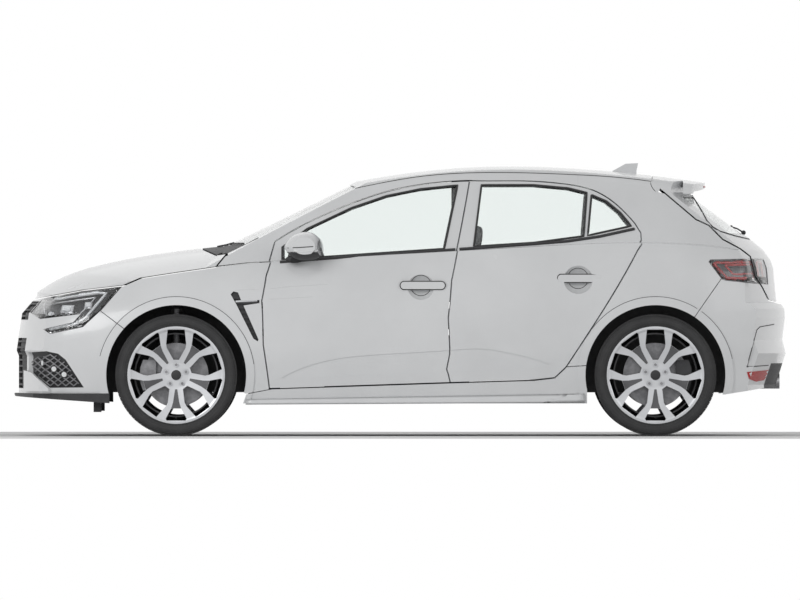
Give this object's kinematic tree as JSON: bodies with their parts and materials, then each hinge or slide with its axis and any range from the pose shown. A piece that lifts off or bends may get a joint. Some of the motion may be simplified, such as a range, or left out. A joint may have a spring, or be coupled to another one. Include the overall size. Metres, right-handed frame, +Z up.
{
  "type": "hatchback car",
  "caption": "Five-door sports hatchback with opening doors, bonnet and tailgate, glazed cabin with seats, steered front wheels and spoked wheels on low-profile tyres.",
  "frame": {"origin": "on the ground, in the middle of the car's bounding box", "axes": "+Z up, +X from the nose to the tail, +Y to the right-hand side seen from above with the nose at -X"},
  "size_m": [4.2708, 2.056, 1.507],
  "materials": {
    "paint": "white gloss paint",
    "glass": "clear glass",
    "lens": "clear lamp lens",
    "trim": "matt dark grey moulding",
    "tyre": "dark rubber",
    "alloy": "silver lacquered alloy",
    "iron": "plain cast iron",
    "chassis": "dark primer",
    "exhaust": "brushed steel",
    "cabin": "grained dark grey plastic",
    "fabric": "grey woven cloth"
  },
  "bodies": {
    "body_shell": {"antenna_fin": "paint", "arch_liners": "trim", "cowl_panel": "trim", "dashboard": "cabin", "engine": "iron", "exhaust": "exhaust", "fender_vents": "trim", "floor_pan": "chassis", "fog_intakes": "trim", "front_bumper": "paint", "front_fenders": "paint", "front_seats": "fabric", "front_splitter": "trim", "front_subframe": "chassis", "gate_hinges": "chassis", "grilles": "trim", "headlamps": "lens", "hinge_pillars": "chassis", "quarter_panels": "paint", "radiator": "chassis", "rear_axle": "chassis", "rear_bumper": "paint", "rear_diffuser": "trim", "rear_seat": "fabric", "roof_panel": "paint", "roof_rails": "paint", "sill_panels": "paint", "steering_wheel": "cabin", "tail_lamps": "lens", "windscreen": "glass"},
    "front_door_left": {"front_door_left": "paint", "front_door_glass_left": "glass", "mirror_left": "paint"},
    "rear_door_left": {"rear_door_left": "paint", "rear_door_glass_left": "glass"},
    "knuckle_left": {"knuckle_left": "iron"},
    "front_wheel_left": {"front_rim_left": "alloy", "front_tyre_left": "tyre", "front_brake_disc_left": "iron"},
    "rear_wheel_left": {"rear_rim_left": "alloy", "rear_tyre_left": "tyre", "rear_brake_disc_left": "iron"},
    "front_door_right": {"front_door_right": "paint", "front_door_glass_right": "glass", "mirror_right": "paint"},
    "rear_door_right": {"rear_door_right": "paint", "rear_door_glass_right": "glass"},
    "knuckle_right": {"knuckle_right": "iron"},
    "front_wheel_right": {"front_rim_right": "alloy", "front_tyre_right": "tyre", "front_brake_disc_right": "iron"},
    "rear_wheel_right": {"rear_rim_right": "alloy", "rear_tyre_right": "tyre", "rear_brake_disc_right": "iron"},
    "bonnet": {"bonnet": "paint"},
    "tailgate": {"tailgate": "paint", "tailgate_glass": "glass", "tailgate_lamps": "lens", "spoiler": "paint"}
  },
  "joints": [
    {"name": "steer_left", "type": "hinge", "parent": "body_shell", "child": "knuckle_left", "pos_m": [-1.232, -0.752, 0.336], "axis": [0, 0, 1], "range_deg": [-35, 35]},
    {"name": "front_wheel_spin_left", "type": "hinge", "parent": "knuckle_left", "child": "front_wheel_left", "pos_m": [-1.232, -0.797, 0.336], "axis": [0, 1, 0], "continuous": true},
    {"name": "rear_wheel_spin_left", "type": "hinge", "parent": "body_shell", "child": "rear_wheel_left", "pos_m": [1.404, -0.797, 0.336], "axis": [0, 1, 0], "continuous": true},
    {"name": "front_door_hinge_left", "type": "hinge", "parent": "body_shell", "child": "front_door_left", "pos_m": [-0.7, -0.892, 0.63], "axis": [0, 0, -1], "range_deg": [0, 65]},
    {"name": "rear_door_hinge_left", "type": "hinge", "parent": "body_shell", "child": "rear_door_left", "pos_m": [0.33, -0.892, 0.63], "axis": [0, 0, -1], "range_deg": [0, 65]},
    {"name": "steer_right", "type": "hinge", "parent": "body_shell", "child": "knuckle_right", "pos_m": [-1.232, 0.752, 0.336], "axis": [0, 0, 1], "range_deg": [-35, 35]},
    {"name": "front_wheel_spin_right", "type": "hinge", "parent": "knuckle_right", "child": "front_wheel_right", "pos_m": [-1.232, 0.797, 0.336], "axis": [0, 1, 0], "continuous": true},
    {"name": "rear_wheel_spin_right", "type": "hinge", "parent": "body_shell", "child": "rear_wheel_right", "pos_m": [1.404, 0.797, 0.336], "axis": [0, 1, 0], "continuous": true},
    {"name": "front_door_hinge_right", "type": "hinge", "parent": "body_shell", "child": "front_door_right", "pos_m": [-0.7, 0.892, 0.63], "axis": [0, 0, 1], "range_deg": [0, 65]},
    {"name": "rear_door_hinge_right", "type": "hinge", "parent": "body_shell", "child": "rear_door_right", "pos_m": [0.33, 0.892, 0.63], "axis": [0, 0, 1], "range_deg": [0, 65]},
    {"name": "bonnet_hinge", "type": "hinge", "parent": "body_shell", "child": "bonnet", "pos_m": [-1, 0, 0.985], "axis": [0, 1, 0], "range_deg": [0, 50]},
    {"name": "tailgate_hinge", "type": "hinge", "parent": "body_shell", "child": "tailgate", "pos_m": [1.46, 0, 1.41], "axis": [0, -1, 0], "range_deg": [0, 75]}
  ],
  "couplings": [
    {"joint": "steer_right", "follows": "steer_left", "ratio": 1}
  ]
}
